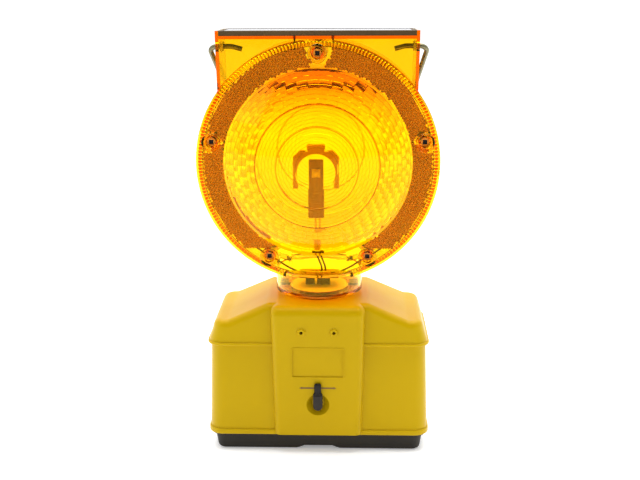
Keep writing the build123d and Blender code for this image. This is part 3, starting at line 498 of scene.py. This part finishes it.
def new_object(name, vertices, faces, material, sharp=30.0):
    """A mesh object from points in millimetres."""
    mesh = bpy.data.meshes.new(name)
    mesh.from_pydata((np.asarray(vertices, float) * MM).tolist(), [], faces)
    mesh.validate()
    obj = bpy.data.objects.new(name, mesh)
    bpy.context.scene.collection.objects.link(obj)
    mesh.materials.append(material)
    finish_normals(mesh, sharp)
    return obj


def finish_normals(mesh, sharp):
    """Faces outwards, and edges sharp only where they turn by more than the angle in degrees."""
    work = bmesh.new()
    work.from_mesh(mesh)
    bmesh.ops.recalc_face_normals(work, faces=work.faces)
    work.to_mesh(mesh)
    work.free()
    mesh.shade_smooth()
    mesh.set_sharp_from_angle(angle=math.radians(sharp))


def lathe(profile, count):
    """Points and faces of a closed ring of (radius, y) points turned about the lenses' axis.
    A radius of zero becomes one point."""
    angles = np.linspace(0, 2 * math.pi, count, endpoint=False)
    points, starts = [], []
    for radius, y in profile:
        starts.append(len(points))
        if radius == 0:
            points.append((0.0, y, AXIS_Z))
        else:
            points += [(radius * math.cos(a), y, AXIS_Z + radius * math.sin(a)) for a in angles]
    return points, ring_faces(profile, starts, count)


def ring_faces(profile, starts, count):
    """Quads between neighbouring rings, triangles where a ring is a single point."""
    faces = []
    total = len(profile)
    for i in range(total):
        j = (i + 1) % total
        zero_i, zero_j = profile[i][0] == 0, profile[j][0] == 0
        if zero_i and zero_j:
            continue
        for k in range(count):
            n = (k + 1) % count
            if zero_i:
                faces.append((starts[i], starts[j] + k, starts[j] + n))
            elif zero_j:
                faces.append((starts[i] + k, starts[j], starts[i] + n))
            else:
                faces.append((starts[i] + k, starts[j] + k, starts[j] + n, starts[i] + n))
    return faces


# ---- lenses -------------------------------------------------------------------------------


def dome(radius, wall):
    """How far the dome stands out at a radius, on the face that lies wall below the outer one."""
    sphere = (WINDOW_R**2 + DOME_H**2) / (2 * DOME_H)
    return np.sqrt((sphere - wall) ** 2 - radius**2) - (sphere - DOME_H)


def prism_depth(radius, angle):
    """How far the window's inner face stands out towards the lamp: rings, then bricks."""
    depth = np.zeros_like(radius)
    # fine rings, deeper outwards
    place = (radius - RING_START) / RING_PITCH
    tooth = 1.0 - (place - np.floor(place))
    height = RING_LOW + RING_RISE * np.clip((radius - RING_START) / RING_SPREAD, 0, 1)
    rings = (radius > RING_START) & (radius < BRICK_START)
    depth = np.where(rings, tooth * height, depth)
    # two higher ridges
    for edge in STRONG_RINGS:
        depth = depth + STRONG_HEIGHT * np.exp(-(((radius - edge) / STRONG_WIDTH) ** 2))
    # bricks, each row shifted by half a brick
    row = np.floor((radius - BRICK_START) / BRICK_ROW)
    along = (radius - BRICK_START) / BRICK_ROW - row
    middle = BRICK_START + (row + 0.5) * BRICK_ROW
    count = np.maximum(np.round(2 * math.pi * middle / BRICK_LENGTH), 1)
    turn = angle / (2 * math.pi) * count + 0.5 * np.mod(row, 2)
    across = turn - np.floor(turn)
    pillow = (1 - (2 * across - 1) ** 2) * BRICK_PILLOW
    wedge = (1 - along) * BRICK_WEDGE
    bricks = (radius >= BRICK_START) & (radius < BRICK_END)
    return np.where(bricks, pillow + wedge, depth)


def round_axis(points):
    """Radius and angle of points about the lenses' axis."""
    dx, dz = points[:, 0], points[:, 2] - AXIS_Z
    return np.hypot(dx, dz), np.arctan2(dz, dx)


def make_window():
    """The domed window as one closed body with its prisms inside."""
    count = 720
    outer = [(r, FACE - float(dome(r, 0))) for r in np.linspace(0, WINDOW_R, 26)]
    edge = [(WINDOW_R, BACK), (PRISM_R, BACK)]
    # even rings of points, and two close to each other at every step between prisms
    radii = set(np.arange(2.0, PRISM_R, 0.55).tolist())
    steps = [RING_START + RING_PITCH * i for i in range(RING_COUNT)]
    steps += [BRICK_START + BRICK_ROW * i for i in range(BRICK_ROWS)]
    for r in steps:
        radii |= {r - 0.06, r + 0.02}
    radii = sorted(r for r in radii if r < PRISM_R - 0.05) + [PRISM_R]
    profile = outer + edge + [(r, 0.0) for r in radii[::-1]] + [(0, 0.0)]
    points, faces = lathe(profile, count)
    points = np.array(points)
    first = 1 + (len(outer) - 1 + len(edge)) * count
    inside = points[first:]
    radius, angle = round_axis(inside)
    inside[:, 1] = FACE - dome(radius, DOME_WALL) + prism_depth(radius, angle)
    return points, faces


def tube_about(x, z, profile, count):
    """A closed ring of (radius, y) points turned about a line along Y through x, z."""
    angles = np.linspace(0, 2 * math.pi, count, endpoint=False)
    points = [(x + r * math.cos(a), y, z + r * math.sin(a)) for r, y in profile for a in angles]
    faces = []
    for i in range(len(profile)):
        low, high = i * count, (i + 1) % len(profile) * count
        for k in range(count):
            n = (k + 1) % count
            faces.append((low + k, high + k, high + n, low + n))
    return points, faces


def make_flange():
    """The flat rim with its knurled band on the back, before the screw holes are cut."""
    count = 1296
    bore = WINDOW_R + 0.02
    front = [(bore, FACE), (91.5, FACE), (96.2, FACE), (96.8, FACE + 0.25), (LENS_R, FACE + 0.8)]
    radii = [bore, 76.0, 80.0, 84.0, 88.0, 91.4, 91.8, 92.6, 93.4, 94.2, 94.9, 95.3, LENS_R]
    profile = front + [(r, BACK) for r in radii[::-1]]
    points, faces = lathe(profile, count)
    points = np.array(points)
    radius, angle = round_axis(points)
    band = (points[:, 1] > BACK - 0.01) & (radius > KNURL_IN) & (radius < KNURL_OUT)
    swing = np.abs(np.sin(angle * KNURL_WAVES))
    points[:, 1] = np.where(band, BACK - KNURL_BASE - KNURL_HEIGHT * swing, points[:, 1])
    return points, faces


def screw_positions():
    """The x, z of each lens screw."""
    for degrees in SCREW_ANGLES:
        a = math.radians(degrees)
        yield SCREW_CIRCLE * math.cos(a), AXIS_Z + SCREW_CIRCLE * math.sin(a)


def cut(target, cutter):
    """Takes the cutter's shape out of the target's mesh."""
    modifier = target.modifiers.new("cut", "BOOLEAN")
    modifier.operation = "DIFFERENCE"
    modifier.solver = "EXACT"
    modifier.object = cutter
    graph = bpy.context.evaluated_depsgraph_get()
    mesh = bpy.data.meshes.new_from_object(target.evaluated_get(graph))
    target.modifiers.clear()
    target.data = mesh
    bpy.data.objects.remove(cutter)


def rod_along_y(name, x, z, radius, y0, y1, count):
    points, faces = tube_about(x, z, [(radius, y0), (radius, y1)], count)
    faces = faces[:count] + [tuple(range(count)), tuple(range(2 * count - 1, count - 1, -1))]
    return new_object(name, points, faces, amber)


def upright_rod(name, radius, z0, z1, count):
    angles = np.linspace(0, 2 * math.pi, count, endpoint=False)
    points = [(radius * math.cos(a), radius * math.sin(a), z) for z in (z0, z1) for a in angles]
    faces = [(k, (k + 1) % count, count + (k + 1) % count, count + k) for k in range(count)]
    faces += [tuple(range(count))[::-1], tuple(range(count, 2 * count))]
    return new_object(name, points, faces, amber)


def joined(name, objects):
    """The objects as one, under the given name."""
    bpy.ops.object.select_all(action="DESELECT")
    for obj in objects:
        obj.select_set(True)
    bpy.context.view_layer.objects.active = objects[0]
    bpy.ops.object.join()
    objects[0].name = name
    return objects[0]


def make_lens():
    """Window, rim and screw bosses as one piece."""
    window = new_object("lens_window", *make_window(), lens_amber, 24.0)
    flange = new_object("lens_flange", *make_flange(), amber, 28.0)
    for x, z in screw_positions():
        cut(flange, rod_along_y("hole", x, z, BOSS_HOLE_R, -40, BOSS_HOLE_END, 46))
    cut(flange, upright_rod("cup_notch", CUP_R, CUP_TOP - 40, CUP_TOP, 96))
    finish_normals(flange.data, 28.0)
    bosses = [
        new_object("boss", *tube_about(x, z, BOSS_PROFILE, 48), boss_amber, 30.0)
        for x, z in screw_positions()
    ]
    return joined("front_lens_clear", [window, flange, *bosses])


def on_sheet(x, z):
    """True where a cell centred at x, z from the lenses' axis belongs to the ring."""
    radius = math.hypot(x, z)
    if not SHEET_IN + SHEET_MARGIN < radius < SHEET_OUT - SHEET_MARGIN:
        return False
    if z < GAP_TOP - AXIS_Z or (z < 0 and abs(x) < -z * math.tan(math.radians(GAP_ANGLE))):
        return False
    return all(
        math.hypot(x - sx, z - (sz - AXIS_Z)) > notch
        for (sx, sz), notch in zip(screw_positions(), NOTCH_RADII)
    )


def make_prism_ring():
    """The corner-prism sheet: hexagonal cells with sunk middles, jagged where the ring ends."""
    row_height, corner_r = CELL * math.sqrt(3) / 2, CELL / math.sqrt(3)
    rows, columns = int(SHEET_OUT / row_height) + 1, int(SHEET_OUT / CELL) + 1
    points, faces, index, centres = [], [], {}, {}

    def place(x, z):
        """A cell's key, the same from whichever neighbour it is reckoned."""
        return round(x * 20), round(z * 20)

    def point(x, y, z):
        """The index of a point, shared by the cells that meet there."""
        key = (round(x * 100), round(y * 100), round(z * 100))
        if key not in index:
            index[key] = len(points)
            points.append((x, y, AXIS_Z + z))
        return index[key]

    for row in range(-rows, rows + 1):
        for column in range(-columns, columns + 1):
            x, z = (column + 0.5 * (row % 2)) * CELL, row * row_height
            if on_sheet(x, z):
                centres[place(x, z)] = (x, z)
    turns = [math.radians(60 * k - 30) for k in range(6)]
    for x, z in centres.values():
        corners = [(x + corner_r * math.cos(t), z + corner_r * math.sin(t)) for t in turns]
        front = [point(cx, SHEET_FRONT, cz) for cx, cz in corners]
        back = [point(cx, SHEET_BACK, cz) for cx, cz in corners]
        middle = point(x, SHEET_FRONT + CELL_DEPTH, z)
        for k in range(6):
            n = (k + 1) % 6
            faces.append((front[k], front[n], middle))
            way = math.radians(60 * k)
            if place(x + CELL * math.cos(way), z + CELL * math.sin(way)) not in centres:
                faces.append((front[k], back[k], back[n], front[n]))
        faces.append(tuple(back))
    return new_object("front_prism_ring", points, faces, prism_sheet, 20.0)


def mirrored(obj, name):
    """The same piece facing the other way, for the rear."""
    mesh = obj.data.copy()
    mesh.transform(Matrix.Scale(-1, 4, (0, 1, 0)))
    mesh.flip_normals()
    copy = bpy.data.objects.new(name, mesh)
    bpy.context.scene.collection.objects.link(copy)
    return copy


front_lens = make_lens()
front_ring = make_prism_ring()
for piece, node, slot in (
    (front_lens, "front_lens", "amber_lens"),
    (mirrored(front_lens, "rear_lens_clear"), "rear_lens", "amber_lens"),
    (front_ring, "front_reflector", "amber_reflector"),
    (mirrored(front_ring, "rear_prism_ring"), "rear_reflector", "amber_reflector"),
):
    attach(piece, "head")
    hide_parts(node)

# ---- stage, light and camera --------------------------------------------------------------


def make_floor():
    """A round pale floor, finer in the middle, that glows a little."""
    size, rings, spokes = 6.0, 24, 48
    level = -0.2                             # a hair below the base, to keep their faces apart
    points = [(0, 0, 0)]
    for i in range(1, rings + 1):
        r = size * (i / rings) ** 2 / MM
        for k in range(spokes):
            a = 2 * math.pi * k / spokes
            points.append((r * math.cos(a), r * math.sin(a), level))
    faces = [(0, 1 + k, 1 + (k + 1) % spokes) for k in range(spokes)]
    for i in range(rings - 1):
        for k in range(spokes):
            n = (k + 1) % spokes
            low, high = 1 + i * spokes, 1 + (i + 1) * spokes
            faces.append((low + k, high + k, high + n, low + n))
    s = Shader("pale_floor")
    tint = s.blend(s.noise(3.0), (0.95, 0.95, 0.95), (0.98, 0.98, 0.98))
    s.principled(tint, 0.8, Emission_Color=(1.0, 1.0, 1.0, 1.0), Emission_Strength=0.30)
    floor = new_object("floor", points, faces, s.material)


def make_lights():
    """White surroundings behind and above, dimmer in front, with two soft panels of light."""
    world = bpy.data.worlds.new("studio")
    world.use_nodes = True
    tree = world.node_tree
    background = tree.nodes["Background"]
    background.inputs["Color"].default_value = (1.0, 1.0, 1.0, 1.0)
    direction = tree.nodes.new("ShaderNodeTexCoord").outputs["Generated"]
    split = tree.nodes.new("ShaderNodeSeparateXYZ")
    tree.links.new(direction, split.inputs[0])
    fade = tree.nodes.new("ShaderNodeMapRange")
    fade.interpolation_type = "SMOOTHSTEP"
    fade.inputs["From Min"].default_value = -0.80
    fade.inputs["From Max"].default_value = 0.05
    fade.inputs["To Min"].default_value = 0.20
    fade.inputs["To Max"].default_value = 1.25
    tree.links.new(split.outputs["Y"], fade.inputs["Value"])
    tree.links.new(fade.outputs["Result"], background.inputs["Strength"])
    bpy.context.scene.world = world
    for name, place, size, power in (
        ("overhead", (0.0, 0.35, 1.5), 1.5, 34.0),
        ("left_soft", (-1.3, -0.7, 1.1), 0.8, 2.0),
    ):
        data = bpy.data.lights.new(name, "AREA")
        data.shape = "SQUARE"
        data.size = size
        data.energy = power
        light = bpy.data.objects.new(name, data)
        light.location = place
        aim = Vector((0, 0, 0.15)) - light.location
        light.rotation_euler = aim.to_track_quat("-Z", "Y").to_euler()
        bpy.context.scene.collection.objects.link(light)


def make_camera():
    """A view of the front from a little above, all but level."""
    azimuth, elevation, roll = math.radians(1.86), math.radians(15.0), math.radians(-0.27)
    target, distance = Vector((0.73, 0.0, 169.9)) * MM, 0.789
    back = Vector(
        (
            math.sin(azimuth) * math.cos(elevation),
            -math.cos(azimuth) * math.cos(elevation),
            math.sin(elevation),
        )
    )
    right = (-back).cross(Vector((0, 0, 1))).normalized()
    up = right.cross(-back)
    turned_right = right * math.cos(roll) + up * math.sin(roll)
    turned_up = -right * math.sin(roll) + up * math.cos(roll)
    data = bpy.data.cameras.new("front_view")
    data.sensor_width = 36.0
    data.lens = 53.1
    data.clip_start = 0.01
    camera = bpy.data.objects.new("front_view", data)
    basis = Matrix((turned_right, turned_up, back)).transposed().to_4x4()
    camera.matrix_world = Matrix.Translation(target + back * distance) @ basis
    bpy.context.scene.collection.objects.link(camera)
    bpy.context.scene.camera = camera


make_floor()
make_lights()
make_camera()
bpy.context.scene.view_settings.view_transform = "Standard"
